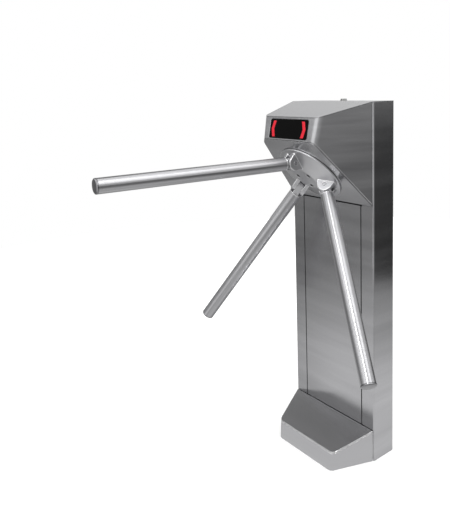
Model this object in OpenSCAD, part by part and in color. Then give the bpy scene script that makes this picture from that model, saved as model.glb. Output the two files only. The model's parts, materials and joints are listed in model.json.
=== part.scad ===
// Tripod turnstile: a folded stainless column with a wedge head, a tilted three-arm hub and a foot.
// Origin: centre of the floor anchor pattern, on the floor, in the plane of the column's front.
// -Y is the passage side, +X is to the right seen from the passage, +Z is up. Millimetres.

/* [Column] */
// Width of the column
col_w = 335; // [320:1:360]
// Depth of the column, front to back
col_d = 86; // [84:1:110]
// Height of the column
col_h = 1050; // [1045:1:1080]
// Thickness of the folded sheet
sheet_t = 2; // [1.5:0.1:2.5]
// Outside radius of the column's sheet bends
bend_r = 4; // [3:0.5:6]
// Distance of the seams beside the service panel from the column's sides
seam_in = 48; // [44:1:54]
// Width of a visible seam
seam_gap = 3; // [1.5:0.1:3.5]
// Radius of the round reliefs where the seams meet the head
relief_r = 4; // [3:0.5:5]
// Depth of the stiffening returns along the service opening
return_d = 14; // [10:1:20]

/* [Head] */
// How far the head's sides lie inside the column's where they meet it
head_in = 4; // [2.5:0.5:8]
// How much each side of the head closes in towards its nose
nose_in = 56; // [50:1:62]
// Reach of the head's upper front edge, before the column
head_top_y = 154; // [148:1:158]
// Drop of the lid from the column's top to that edge
head_drop = 37; // [30:1:45]
// Height of the display panel, down to the nose
panel_h = 68; // [66:1:74]
// Reach of the nose
nose_y = 168; // [164:1:174]
// Height of the slanted face, from the nose down to the column
slant_h = 185; // [180:1:195]
// Outside radius of the head's two upright corners
head_r = 22; // [16:1:26]
// Visible seam between the slanted face and the head's sides
face_seam = 0.8; // [0.4:0.1:1.2]

/* [Lid] */
// Depth of the lid's locating skirt
skirt_d = 12; // [8:1:16]
// Gap round the skirt
skirt_gap = 1; // [0.8:0.1:2]
// Diameter of the lock's cap on the lid
lock_d = 20; // [18:1:24]
// Height of the lock's cap
lock_h = 6; // [4:0.5:8]
// Distance of the lock's axis from the column's back
lock_back = 28; // [26:1:32]

/* [Display] */
// Width of the display window
window_w = 157; // [140:1:165]
// Height of the display window
window_h = 54; // [50:1:58]
// Distance of the window from the display panel's upper edge
window_top = 8; // [7:0.5:9]
// Corner radius of the window
window_r = 5; // [3:0.5:8]
// How far the window stands out of the panel
window_proud = 0.6; // [0.3:0.1:1]
// Width of a light strip
strip_w = 11.5; // [8:0.5:14]
// Height of a light strip
strip_h = 45; // [40:1:48]
// Distance of a strip's ends from the window's middle
strip_x = 59; // [50:1:61]
// How far a strip bends outwards at half its height
strip_bow = 6.5; // [4:0.5:8]

/* [Foot] */
// How far the foot's sides lie inside the column's
foot_in = 2; // [1:0.5:6]
// How much each side of the foot closes in towards its front
foot_close = 51; // [46:1:56]
// Reach of the foot's upper front edge
foot_top_y = 120; // [116:1:122]
// Reach of the foot on the floor
foot_y = 127; // [124:1:132]
// Height of the foot's upper front edge
foot_lip_z = 54; // [50:1:58]
// Height of the foot at the column
foot_back_z = 95; // [90:1:100]
// Radius of the foot's two upright corners
foot_r = 18; // [12:1:22]
// Gap between the foot and the column
foot_gap = 2.5; // [1:0.1:3]
// Height of the foot lid's folded edge
foot_edge = 3.4; // [3:0.1:5]
// Seam under the foot lid
foot_seam = 1.2; // [0.5:0.1:2]

/* [Base] */
// Thickness of the floor plate
base_t = 8; // [6:1:12]
// Anchor hole distance across
anchor_x = 220; // [200:5:230]
// Anchor hole distance front to back
anchor_y = 100; // [90:2:110]
// Anchor hole diameter
anchor_d = 14; // [11:1:16]
// Diameter of the cable entry
cable_d = 40; // [30:1:50]

/* [Hub] */
// Distance of the hub's centre up the slanted face
hub_up = 120; // [116:1:124]
// Turn of the arms at the index position
hub_turn = 6.8; // [0:0.1:10]
// Radius of the hub
hub_r = 102; // [100:1:106]
// Height of the hub's flat front over the slanted face
hub_h = 24; // [22:0.5:26]
// Gap between the hub and the slanted face
hub_gap = 1; // [0.6:0.1:2]
// Thickness of the hub's rim
rim_t = 4; // [3:0.5:5]
// Radius of the rim's upper edge
rim_r = 2.2; // [1:0.1:2.5]
// Radius of the hub's flat front
flat_r = 36; // [34:1:40]
// Radius of the hub bolt circle
bolt_r = 27; // [25:0.5:28]
// Hub bolt diameter
bolt_d = 8; // [6:1:8]

/* [Arm pivots] */
// Distance of the arm pivots from the hub's axis
pivot_r = 68; // [66:1:70]
// Height of the arm pivots over the slanted face
pivot_h = 25; // [24.5:0.5:27]
// Pivot pin diameter
pin_d = 12; // [8:1:12]
// Radius of the cheek plates round the pin
cheek_r = 21; // [19:0.5:22]
// Thickness of a cheek plate
cheek_t = 12; // [8:0.5:13]
// Chamfer along a cheek plate's outer edge
cheek_edge = 1.6; // [0.5:0.1:2]
// Length of a cheek plate's foot on the hub
cheek_foot = 55; // [50:1:58]
// Thickness of the arm's tongue between the cheeks
tongue_t = 18; // [14:0.5:20]
// Clearance beside the tongue
tongue_gap = 0.4; // [0.3:0.05:0.6]
// Radius of the tongue's heel round the pin
heel_r = 14; // [11:0.5:15]
// Running clearance of the pins, on the radius
pin_play = 0.05; // [0.02:0.01:0.08]

/* [Arms] */
// Diameter of an arm tube
arm_d = 38; // [34:1:40]
// Wall of an arm tube
arm_wall = 1.5; // [1.2:0.1:3]
// Reach of an arm from its pivot
arm_reach = 553; // [450:1:600]
// Start of the tube from the pivot
arm_start = 27; // [25:1:32]
// Height of an end cap's edge, and of its bevel and dome over it
cap_h = 3; // [2.5:0.5:6]
// Width of the bevel round an end cap
cap_bevel = 2.4; // [1:0.2:3]
// Length of a plug inside a tube
plug_l = 40; // [25:1:60]

/* [Mechanism] */
// Thickness of the mechanism plates
plate_t = 8; // [6:0.5:9]
// Distance from the front plate to the rear plate
pillar_l = 81; // [78:1:90]
// Teeth of the drive gear
gear_z = 72; // [70:1:74]
// Teeth of the motor pinion
pinion_z = 18; // [17:1:20]
// Width of the drive gears
gear_w = 12; // [8:1:14]
// Play between the gear teeth, on each flank
backlash = 0.06; // [0.04:0.01:0.1]
// Diameter of the gearmotor
motor_d = 54; // [48:1:56]
// Diameter of the encoder disc
encoder_d = 60; // [54:1:64]

/* [Electronics] */
// Width of the control board
board_w = 150; // [130:5:180]
// Height of the control board
board_h = 110; // [90:5:120]
// Height of the control board's centre
board_z = 610; // [560:5:650]
// Width of the power supply
supply_w = 130; // [110:5:160]
// Height of the power supply
supply_h = 98; // [80:2:110]
// Depth of the power supply
supply_d = 36; // [30:1:45]
// Height of the power supply's centre
supply_z = 430; // [400:5:450]
// Height of the terminal rail
rail_z = 250; // [200:5:300]
// Length of the terminal rail
rail_l = 180; // [150:5:220]
// Width of the terminal rail
rail_w = 35; // [35:1:38]
// Terminals on the rail
terminal_n = 10; // [4:1:12]

/* [Hidden] */
$fn = 48;
eps = 0.01;

steel = "silver";
dark = "dimgray";

// Shaft bearings of a standard size: bore, outside diameter, width, ball diameter and ball number
shaft_d = 25;
bearing_d = 52;
bearing_w = 15;
ball_d = 8;
balls = 9;
// Module and pressure angle of the drive gears
gear_m = 1.5;
pressure = 20;
// Clearance of a screw in its thread, on the radius, and of pieces that only sit in each other
thread_play = 0.05;
seat_play = 0.2;
// Length of the lock below the lid, and size of its plug
lock_l = 22;
plug_d = 11;
// Components of the control board
board_t = 1.6;
post_h = 8;
connector_w = 12;
connector_d = 8;
relay_w = 19;
relay_d = 15;
relay_h = 16;
can_d = 13;
can_h = 20;
chip_w = 18;
// Rail and terminals
rail_h = 7.5;
rail_lip = 4;
terminal_w = 12;
terminal_l = 42;
terminal_h = 32;

// Widths and heights that follow the column's; the head hangs from its top
seam_w = col_w - 2 * seam_in;
head_w = col_w - 2 * head_in;
nose_w = head_w - 2 * nose_in;
head_top_z = col_h - head_drop;
nose_z = head_top_z - panel_h;
slant_z = nose_z - slant_h;
foot_w = col_w - 2 * foot_in;
foot_front_w = foot_w - 2 * foot_close;
// Longer than the part is wide, for cuts and extrusions that go right through, and what moves
// a form's face out of the way
past = 2 * col_w;
out = -0.18 * col_w;

// The slanted face leans by this angle, and the hub's axis dips by it below the level
tilt = atan2(nose_y, nose_z - slant_z);
face_len = norm([nose_y, nose_z - slant_z]);
face_y = -hub_up * sin(tilt);
face_z = slant_z + hub_up * cos(tilt);
panel_lean = atan2(nose_y - head_top_y, head_top_z - nose_z);
top_slope = (col_h - head_top_z) / head_top_y;

// Side profiles in Y and Z, counter-clockwise, and their plans seen from above
head_profile = [[0, slant_z], [0, col_h], [-head_top_y, head_top_z], [-nose_y, nose_z]];
head_plan = [[-nose_w / 2, -nose_y], [nose_w / 2, -nose_y], [head_w / 2, 0], [-head_w / 2, 0]];
foot_profile = [[-foot_gap, 0], [-foot_gap, foot_back_z], [-foot_top_y, foot_lip_z], [-foot_y, 0]];
foot_plan = [[-foot_front_w / 2, -foot_y], [foot_front_w / 2, -foot_y], [foot_w / 2, 0],
    [-foot_w / 2, 0]];

// Cone of the hub: height over the face at a radius, and its slope
rim_h = hub_gap + rim_t;
cone_slope = (hub_h - rim_h) / (hub_r - flat_r);
cone_angle = atan(cone_slope);
cone_at_pivot = hub_h - (pivot_r - flat_r) * cone_slope;
pin_over_cone = (pivot_h - cone_at_pivot) * cos(cone_angle);
cheek_out = tongue_t / 2 + tongue_gap + cheek_t;

// Depths behind the slanted face, along the hub's axis
plate_h = -sheet_t;
housing_h = plate_h - plate_t;
flange_t = 10;
flange_r = 34;
rear_h = housing_h - pillar_l;
gear_h = rear_h - plate_t - 3;
shaft_end = gear_h - gear_w - 18;
bearing_h = [housing_h - 4, rear_h - plate_t + 2 + bearing_w];
housing_r = bearing_d / 2 + 8;
housing_flange_r = housing_r + 12;
ball_ring_r = (shaft_d + bearing_d) / 4;
axes_apart = gear_m * (gear_z + pinion_z) / 2;
motor_l = pillar_l - 15;
key_w = 8;

function unit(v) = v / norm(v);
function inward(u) = [-u[1], u[0]];
function crossing(p, u, q, v) = p + u * cross(q - p, v) / cross(u, v);

// A convex counter-clockwise outline moved inwards, edge by edge
function inset(pts, ts) = [
    for (i = [0 : len(pts) - 1])
        let (
            n = len(pts),
            a = pts[(i + n - 1) % n],
            b = pts[i],
            c = pts[(i + 1) % n],
            u = unit(b - a),
            v = unit(c - b)
        )
        crossing(a + inward(u) * ts[(i + n - 1) % n], u, b + inward(v) * ts[i], v)
];

// An outline with each corner rounded by an arc of its own radius
function rounded(pts, rs, steps = 5) = [
    for (i = [0 : len(pts) - 1])
        let (
            n = len(pts),
            u = unit(pts[i] - pts[(i + n - 1) % n]),
            v = unit(pts[(i + 1) % n] - pts[i]),
            r = rs[i],
            turn = atan2(cross(u, v), u * v),
            start = pts[i] - u * r * tan(turn / 2),
            mid = start + inward(u) * r
        )
        for (s = [0 : steps])
            let (a = turn * s / steps)
            mid - r * (inward(u) * cos(a) - u * sin(a))
];

function box_outline(w, d) = [[-w / 2, -d / 2], [w / 2, -d / 2], [w / 2, d / 2], [-w / 2, d / 2]];

// Tooth outline of an involute gear
function inv(a) = tan(a) * 180 / PI - a;
function gear_outline(z) = [
    let (
        rp = gear_m * z / 2,
        rb = rp * cos(pressure),
        ra = rp + gear_m,
        rf = rp - 1.25 * gear_m,
        half = 90 / z - backlash / rp * 180 / PI + inv(pressure)
    )
    for (t = [0 : z - 1])
        each [
            for (s = [-1, 1])
                for (k = s < 0 ? [0 : 3] : [3 : -1 : 0])
                    let (
                        r = k == 0 ? rf : max(rb, rf) + (ra - max(rb, rf)) * (k - 1) / 2,
                        a = half - inv(acos(min(1, rb / max(r, rb))))
                    )
                    r * [cos(360 * t / z + s * a), sin(360 * t / z + s * a)]
        ]
];

// Frames: x and y along the slanted face and z out of it, and the same turned with the arms
module on_face(h = 0) {
    translate([0, face_y, face_z])
        rotate([90 + tilt, 0, 0])
            translate([0, 0, h])
                children();
}

module on_hub(h = 0) {
    on_face(h)
        rotate([0, 0, hub_turn])
            children();
}

// Frame of an arm: x along its pivot pin, z out along the arm
module on_arm(k) {
    on_hub()
        rotate([0, 0, 120 * (k - 1)])
            translate([0, pivot_r, pivot_h])
                rotate([-tilt, 0, 0])
                    children();
}

// Frame of the motor, beside the main shaft
module on_motor(h = 0) {
    on_face(h)
        translate([axes_apart, 0, 0])
            children();
}

// Frame of the display panel: y up the panel, z out of it, from the panel's upper edge
module on_panel() {
    translate([0, -head_top_y, head_top_z])
        rotate([90 - panel_lean, 0, 0])
            children();
}

// Frame of the column's back wall: x across, y up, z towards the front
module on_back(z) {
    translate([0, col_d - sheet_t, z])
        rotate([90, 0, 0])
            children();
}

// Cuts a form's upright edge to a radius: c on the round's axis, n1 and n2 the faces' normals
module edge_rounder(c, n1, n2, r) {
    e = unit(cross(n1, n2));
    nb = unit(n1 + n2);
    lean = acos(e[2]);
    way = atan2(e[1], e[0]);
    xa = [cos(way) * cos(lean), sin(way) * cos(lean), -sin(lean)];
    ya = [-sin(way), cos(way), 0];
    translate(c)
        rotate([0, lean, way])
            rotate([0, 0, atan2(nb * ya, nb * xa)])
                difference() {
                    translate([r * (nb * n1), -r, -past / 2])
                        cube([r, 2 * r, past]);
                    cylinder(r = r, h = 2 * past, center = true, $fn = 96);
                }
}

// A wedge from a side profile and a plan, its faces moved inwards, its upright edges rounded
module wedge_form(profile, plan, side_in, ts, r) {
    front = unit(profile[3] - profile[2]);
    n1 = [0, front[1], -front[0]];
    run = plan[2] - plan[1];
    n2 = unit([run[1], -run[0], 0]);
    corner = [plan[1][0], plan[1][1], profile[3][1]];
    mid = corner - r * (n1 + n2) / (1 + n1 * n2);
    difference() {
        intersection() {
            rotate([90, 0, 90])
                linear_extrude(height = past, center = true)
                    polygon(inset(profile, ts));
            linear_extrude(height = 2 * col_h)
                polygon(inset(plan, [out, side_in, out, side_in]));
        }
        edge_rounder(mid, n1, n2, r - side_in);
        mirror([1, 0, 0])
            edge_rounder(mid, n1, n2, r - side_in);
    }
}

module head_form(side_in = 0, ts = [0, 0, 0, 0]) {
    wedge_form(head_profile, head_plan, side_in, ts, head_r);
}

module foot_form(side_in = 0, ts = [0, 0, 0, 0]) {
    wedge_form(foot_profile, foot_plan, side_in, ts, foot_r);
}

module column_form(in = 0, longer = 0) {
    translate([0, col_d / 2, -longer])
        linear_extrude(height = col_h + 2 * longer)
            polygon(rounded(box_outline(col_w - 2 * in, col_d - 2 * in),
                [for (i = [0 : 3]) max(bend_r - in, 0.5)]));
}

// Space between two surfaces parallel to the lid's top, a and b below it
module under_top(a, b) {
    rotate([90, 0, 90])
        linear_extrude(height = past, center = true)
            polygon([
                [past, col_h - a], [0, col_h - a], [-past, col_h - a - past * top_slope],
                [-past, col_h - b - past * top_slope], [0, col_h - b], [past, col_h - b]
            ]);
}

module ring(ro, ri, h) {
    difference() {
        cylinder(r = ro, h = h);
        translate([0, 0, -1])
            cylinder(r = ri, h = h + 2);
    }
}

// Floor plate inside the column and the foot, with the anchor holes and the cable entry
base_in = sheet_t + seat_play;
cable_at = [0, col_d / 2 - 6, 0];

module base_plate() {
    color(dark)
        difference() {
            intersection() {
                union() {
                    column_form(base_in);
                    foot_form(base_in, [base_in, out, base_in, 0]);
                    translate([-opening_w / 2 + 6, -20, 0])
                        cube([opening_w - 12, 40, base_t]);
                }
                translate([-col_w / 2, -foot_y, 0])
                    cube([col_w, foot_y + col_d, base_t]);
            }
            for (x = [-1, 1], y = [-1, 1])
                translate([x * anchor_x / 2, y * anchor_y / 2, -1])
                    cylinder(d = anchor_d, h = base_t + 2);
            translate(cable_at)
                cylinder(d = cable_d, h = 3 * base_t, center = true);
        }
}

module cable_grommet() {
    color("black")
        translate(cable_at)
            difference() {
                union() {
                    translate([0, 0, base_t])
                        cylinder(d = cable_d + 6, h = 2.5);
                    translate([0, 0, 0.5])
                        cylinder(d = cable_d - seat_play, h = base_t);
                }
                translate([0, 0, -1])
                    cylinder(d = cable_d - 8, h = base_t + 5);
            }
}

// Folded column: back, sides and front strips, with returns along the service opening and a
// round relief where each seam meets the head
opening_w = seam_w + seam_gap;

module column_shell() {
    head_open_w = head_w - 2 * sheet_t + 1;
    color(steel)
        difference() {
            union() {
                difference() {
                    column_form();
                    column_form(sheet_t, 5);
                }
                for (s = [-1, 1])
                    translate([s * (opening_w + sheet_t) / 2 - sheet_t / 2, eps, base_t])
                        cube([sheet_t, return_d, slant_z - base_t - 20]);
            }
            translate([-opening_w / 2, -1, -1])
                cube([opening_w, sheet_t + 1.5, slant_z + 2]);
            translate([-head_open_w / 2, -1, slant_z])
                cube([head_open_w, sheet_t + 1.5, col_h]);
            under_top(out, sheet_t + seat_play);
            for (s = [-1, 1])
                translate([s * opening_w / 2, -1, slant_z])
                    rotate([-90, 0, 0])
                        cylinder(r = relief_r, h = sheet_t + 1.5, $fn = 24);
        }
}

// Service panel: a tray that closes the front between the seams
module service_panel() {
    w = seam_w - seam_gap;
    bottom = base_t;
    h = slant_z - seam_gap - bottom;
    color(steel)
        difference() {
            translate([-w / 2, 0, bottom])
                cube([w, return_d - 2, h]);
            translate([-w / 2 + sheet_t, sheet_t, bottom + sheet_t])
                cube([w - 2 * sheet_t, return_d, h - 2 * sheet_t]);
        }
}

// Foot: a folded skirt with a joggled rim that carries the lid plate, and a tab each side
// against the column
foot_tab = 18;
joggle_h = 12;
skirt_top = foot_edge + foot_seam;

module foot_skirt() {
    color(steel) {
        difference() {
            foot_form(0, [0, skirt_top, 0, 0]);
            foot_form(sheet_t, [out, out, sheet_t, out]);
        }
        difference() {
            foot_form(sheet_t - eps, [0, foot_edge, sheet_t - eps, 0]);
            foot_form(2 * sheet_t, [out, out, 2 * sheet_t, out]);
            foot_form(out, [out, foot_edge + joggle_h, out, out]);
        }
        for (s = [0, 1])
            mirror([s, 0, 0])
                translate([foot_w / 2 - foot_tab - 1.5 * sheet_t, -foot_gap - sheet_t, base_t])
                    cube([foot_tab, foot_gap + sheet_t, foot_back_z - skirt_top - base_t - 4]);
    }
}

module foot_lid() {
    color(steel)
        difference() {
            foot_form();
            foot_form(out, [out, foot_edge, out, out]);
        }
}

// Head: front and sides folded from one sheet, and the slanted face as a plate of its own
module window_hole(grow) {
    translate([0, -window_top - window_h / 2, 0])
        linear_extrude(height = 30, center = true)
            polygon(rounded(box_outline(window_w + 2 * grow, window_h + 2 * grow),
                [for (i = [0 : 3]) window_r + grow]));
}

module head_shell() {
    color(steel)
        difference() {
            head_form(0, [0, sheet_t + seat_play, 0, sheet_t + face_seam]);
            head_form(sheet_t, [out, out, sheet_t, out]);
            on_panel()
                window_hole(seat_play);
        }
}

module hub_plate() {
    color(steel)
        difference() {
            head_form();
            head_form(out, [out, out, out, sheet_t]);
            on_face()
                cylinder(r = flange_r + 3, h = 20, center = true, $fn = 96);
            plate_bolt_places() {
                cylinder(d = plate_bolt_d + 0.4, h = 20, center = true);
                translate([0, 0, -head_sunk])
                    cylinder(d1 = plate_bolt_d + seat_play, d2 = 3 * plate_bolt_d + seat_play,
                        h = plate_bolt_d);
            }
        }
}

// Display: black window in the panel, two bowed light strips in it, and the board behind
window_t = 3;

module strip_outline(grow) {
    w = strip_w / 2 + grow;
    h = strip_h / 2 + grow;
    polygon([
        [strip_x - w, -h], [strip_x + w, -h], [strip_x + strip_bow + w, 0],
        [strip_x + w, h], [strip_x - w, h], [strip_x + strip_bow - w, 0]
    ]);
}

module both_strips(grow, h) {
    translate([0, -window_top - window_h / 2, 0])
        for (s = [0, 1])
            mirror([s, 0, 0])
                linear_extrude(height = h)
                    strip_outline(grow);
}

module display_window() {
    color("black")
        on_panel()
            difference() {
                union() {
                    intersection() {
                        window_hole(0);
                        translate([-window_w, -200, -sheet_t - eps])
                            cube([2 * window_w, 400, sheet_t + window_proud + eps]);
                    }
                    intersection() {
                        window_hole(4);
                        translate([-window_w, -200, -sheet_t - window_t])
                            cube([2 * window_w, 400, window_t]);
                    }
                }
                translate([0, 0, -20])
                    both_strips(0.1, 40);
            }
}

module light_strips() {
    color("red")
        on_panel()
            translate([0, 0, -sheet_t - window_t])
                both_strips(0, sheet_t + window_t + window_proud - 0.1);
}

// Board behind the window, on four spacers
board_gap = 8;
spacer_at = [for (x = [-1, 1], y = [-1, 1]) [x * 40, -window_top - window_h / 2 + y * 18]];

module display_board() {
    color("green")
        on_panel()
            translate([-window_w / 2, -window_top - window_h + 3, -window_t - sheet_t - board_gap])
                mirror([0, 0, 1])
                    cube([window_w, window_h - 6, board_t]);
}

module board_spacers() {
    color(dark)
        on_panel()
            for (p = spacer_at)
                translate([p[0], p[1], -sheet_t - window_t - board_gap])
                    cylinder(d = 6, h = board_gap);
}

// Lift-off lid: a folded top with a skirt inside the walls, and its key lock
lock_at = [0, col_d - lock_back, col_h];
cam_z = -sheet_t - lock_l;
cam_t = 2.5;
cam_l = lock_back - 2 * sheet_t - 2;

module skirt_form(in) {
    column_form(in);
    head_form(in, [-1, 0, in + 3, out]);
}

module lid() {
    skirt_in = sheet_t + skirt_gap;
    color(steel)
        difference() {
            union() {
                intersection() {
                    union() {
                        column_form();
                        head_form(0, [-1, 0, 0, 0]);
                    }
                    under_top(-1, sheet_t);
                }
                intersection() {
                    difference() {
                        skirt_form(skirt_in);
                        skirt_form(skirt_in + 1.5);
                    }
                    under_top(sheet_t - eps, skirt_d);
                }
            }
            translate(lock_at)
                cylinder(d = lock_d - 4, h = 20, center = true);
        }
}

module lock_barrel() {
    color(dark)
        translate(lock_at)
            difference() {
                union() {
                    cylinder(d1 = lock_d, d2 = lock_d - 2, h = lock_h);
                    translate([0, 0, cam_z + 1])
                        cylinder(d = lock_d - 4.2, h = -cam_z - 1 + eps);
                }
                translate([0, 0, cam_z])
                    cylinder(d = plug_d + 2 * pin_play, h = 60);
            }
}

module lock_nut() {
    color(steel)
        translate(lock_at)
            translate([0, 0, -sheet_t - 5])
                difference() {
                    cylinder(d = lock_d + 6, h = 5, $fn = 6);
                    translate([0, 0, -1])
                        cylinder(d = lock_d - 4, h = 8);
                }
}

module lock_plug() {
    color("gold")
        translate(lock_at)
            difference() {
                translate([0, 0, cam_z])
                    cylinder(d = plug_d, h = -cam_z + lock_h - 0.5);
                translate([-0.8, -3.5, lock_h - 12])
                    cube([1.6, 7, 20]);
            }
}

module lock_cam() {
    color(dark)
        translate(lock_at)
            translate([0, 0, cam_z - cam_t]) {
                linear_extrude(height = cam_t)
                    difference() {
                        union() {
                            circle(r = 8);
                            translate([-cam_l, -8])
                                square([cam_l, 16]);
                        }
                        circle(r = 2.6);
                    }
                translate([0, 0, -3])
                    cylinder(d = 9, h = 3, $fn = 6);
                translate([0, 0, -1])
                    cylinder(r = 2.5, h = cam_t + 1);
            }
}

module lock_keeper() {
    reach = lock_back - sheet_t - (lock_d / 2 + 3);
    color(dark)
        translate([-15, col_d - sheet_t - reach, col_h + cam_z + 0.4])
            difference() {
                translate([0, 0, -14])
                    cube([30, reach, 14 + sheet_t]);
                translate([-1, -1, -15])
                    cube([32, reach + 1 - sheet_t, 15]);
            }
}

// Mechanism: two plates on pillars, bolted behind the slanted face. The plates reach further on
// the motor's side; the pillars stand near their corners
plate_left = -92;
plate_right = axes_apart + motor_d / 2 + 32;
plate_half = 74;
plate_bolt_r = 84;
plate_bolt_d = 6;
head_sunk = sheet_t - 0.3;
pillar_d = 12;
pillar_in = 14;
pillar_y = 50;

module plate_bolt_places() {
    on_face()
        for (a = [45 : 90 : 315])
            rotate([0, 0, a])
                translate([plate_bolt_r, 0, 0])
                    children();
}

module pillar_places() {
    for (x = [plate_left + pillar_in, plate_right - pillar_in], y = [-1, 1])
        translate([x, y * pillar_y, 0])
            children();
}

module plate_outline() {
    polygon(rounded([[plate_left, -plate_half], [plate_right, -plate_half],
        [plate_right, plate_half], [plate_left, plate_half]], [10, 10, 10, 10]));
}

module mechanism_plate() {
    color(dark)
        difference() {
            intersection() {
                on_face(housing_h)
                    linear_extrude(height = plate_t)
                        plate_outline();
                head_form(sheet_t + 1, [out, out, out, out]);
            }
            on_face()
                cylinder(r = flange_r + 3, h = 3 * plate_t, center = true);
            plate_bolt_places()
                cylinder(d = plate_bolt_d, h = 60, center = true);
            on_face()
                housing_screw_places()
                    cylinder(d = housing_screw_d, h = 2 * housing_screw_in + 2, center = true);
        }
}

// Flat screws under the hub's disc, from the slanted face into the mechanism plate
module plate_bolts() {
    color(steel)
        plate_bolt_places() {
            translate([0, 0, -head_sunk])
                cylinder(d1 = plate_bolt_d, d2 = plate_bolt_d + 2 * head_sunk, h = head_sunk);
            translate([0, 0, -sheet_t - plate_t])
                cylinder(d = plate_bolt_d - 2 * thread_play, h = plate_t + 1);
        }
}

module pillars() {
    color(steel)
        on_face(rear_h)
            pillar_places()
                cylinder(d = pillar_d, h = pillar_l);
}

module rear_plate() {
    color(dark)
        on_face(rear_h - plate_t)
            difference() {
                linear_extrude(height = plate_t)
                    plate_outline();
                translate([0, 0, -1])
                    cylinder(r = housing_r + seat_play, h = plate_t + 2);
                translate([axes_apart, 0, 0]) {
                    cylinder(d = 22, h = 60, center = true);
                    motor_screw_places()
                        cylinder(d = motor_screw_d + 0.4, h = 60, center = true);
                }
            }
}

// Bearing housing: a tube with two bearing seats, its flange screwed behind the front plate
housing_flange_t = 8;
housing_screw_d = 5;
housing_screw_in = 5;

module bearing_housing() {
    tail = rear_h - plate_t + 1;
    color("lightgray")
        on_face()
            difference() {
                union() {
                    translate([0, 0, housing_h - housing_flange_t])
                        cylinder(r = housing_flange_r, h = housing_flange_t);
                    translate([0, 0, tail])
                        cylinder(r = housing_r, h = housing_h - tail - eps);
                }
                translate([0, 0, tail - 1])
                    cylinder(r = bearing_d / 2 - 3, h = 200);
                translate([0, 0, bearing_h[0] - bearing_w])
                    cylinder(r = bearing_d / 2, h = 100);
                translate([0, 0, tail - 1])
                    cylinder(r = bearing_d / 2, h = bearing_h[1] - tail + 1);
                housing_screw_places()
                    cylinder(d = housing_screw_d + 0.4, h = 40, center = true);
            }
}

module housing_screw_places() {
    for (a = [0 : 60 : 300])
        rotate([0, 0, a + 30])
            translate([housing_r + 6, 0, housing_h])
                children();
}

module housing_screws() {
    color(steel)
        on_face()
            housing_screw_places()
                translate([0, 0, -housing_flange_t]) {
                    translate([0, 0, -4.5])
                        cylinder(d = 1.7 * housing_screw_d, h = 4.5);
                    translate([0, 0, -eps])
                        cylinder(d = housing_screw_d - 2 * thread_play,
                            h = housing_flange_t + housing_screw_in);
                }
}

// Shaft bearings
module bearing_places() {
    on_face()
        for (h = bearing_h)
            translate([0, 0, h - bearing_w])
                children();
}

module ball_track() {
    translate([0, 0, bearing_w / 2])
        rotate_extrude($fn = 64)
            translate([ball_ring_r, 0])
                circle(d = ball_d + 0.2, $fn = 32);
}

module bearing_outer_rings() {
    color(steel)
        bearing_places()
            difference() {
                ring(bearing_d / 2 - 0.02, ball_ring_r + ball_d / 4, bearing_w);
                ball_track();
            }
}

module bearing_balls() {
    color("white")
        bearing_places()
            for (i = [0 : balls - 1])
                rotate([0, 0, 360 * i / balls])
                    translate([ball_ring_r, 0, bearing_w / 2])
                        sphere(d = ball_d);
}

module bearing_inner_rings() {
    color(steel)
        bearing_places()
            difference() {
                ring(ball_ring_r - ball_d / 4, shaft_d / 2, bearing_w);
                ball_track();
            }
}

// Main shaft with its flange, and what turns with it
module main_shaft() {
    flange_h = hub_gap - flange_t;
    color("lightgray")
        on_hub()
            difference() {
                union() {
                    translate([0, 0, flange_h])
                        cylinder(r = flange_r, h = flange_t);
                    translate([0, 0, hub_gap - eps])
                        cylinder(r = spigot_r, h = spigot_h);
                    translate([0, 0, bearing_h[0]])
                        cylinder(r = shaft_d / 2 + 3, h = flange_h - bearing_h[0] + eps);
                    translate([0, 0, gear_h - gear_w - 3])
                        cylinder(d = shaft_d, h = bearing_h[0] - gear_h + gear_w + 3 + eps);
                    translate([0, 0, shaft_end])
                        cylinder(d = shaft_d - 7, h = gear_h - gear_w - 3 - shaft_end + eps);
                }
                hub_bolt_places()
                    cylinder(d = bolt_d, h = 60, center = true);
                translate([-key_w / 2, shaft_d / 2 - 4, gear_h - gear_w])
                    cube([key_w, 10, gear_w]);
            }
}

module drive_key() {
    color(dark)
        on_hub()
            translate([-key_w / 2, shaft_d / 2 - 4, gear_h - gear_w])
                cube([key_w, 7, gear_w]);
}

module circlips() {
    color(dark)
        on_hub() {
            translate([0, 0, bearing_h[1] - bearing_w - 1.6])
                ring(shaft_d / 2 + 3, shaft_d / 2, 1.4);
            translate([0, 0, gear_h - gear_w - 1.6])
                ring(shaft_d / 2 + 3, shaft_d / 2, 1.4);
        }
}

module drive_gear() {
    color("darkgray")
        on_hub(gear_h - gear_w)
            rotate([0, 0, -hub_turn])
                difference() {
                    linear_extrude(height = gear_w)
                        polygon(gear_outline(gear_z));
                    translate([0, 0, -1])
                        cylinder(d = shaft_d, h = gear_w + 2);
                    for (a = [0 : 60 : 300])
                        rotate([0, 0, a])
                            translate([gear_m * gear_z * 0.32, 0, -1])
                                cylinder(d = gear_m * gear_z * 0.17, h = gear_w + 2);
                    rotate([0, 0, hub_turn])
                        translate([-key_w / 2, 0, -1])
                            cube([key_w, shaft_d / 2 + 3.2, gear_w + 2]);
                }
}

module encoder_disc() {
    color(dark)
        on_hub(shaft_end + 3)
            difference() {
                union() {
                    cylinder(d = 26, h = 8);
                    translate([0, 0, 3])
                        cylinder(d = encoder_d, h = 1.5);
                }
                translate([0, 0, -1])
                    cylinder(d = shaft_d - 7, h = 20);
                for (a = [0 : 15 : 345])
                    rotate([0, 0, a])
                        translate([encoder_d / 2 - 7, -1, -1])
                            cube([5, 2, 12]);
            }
}

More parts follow.
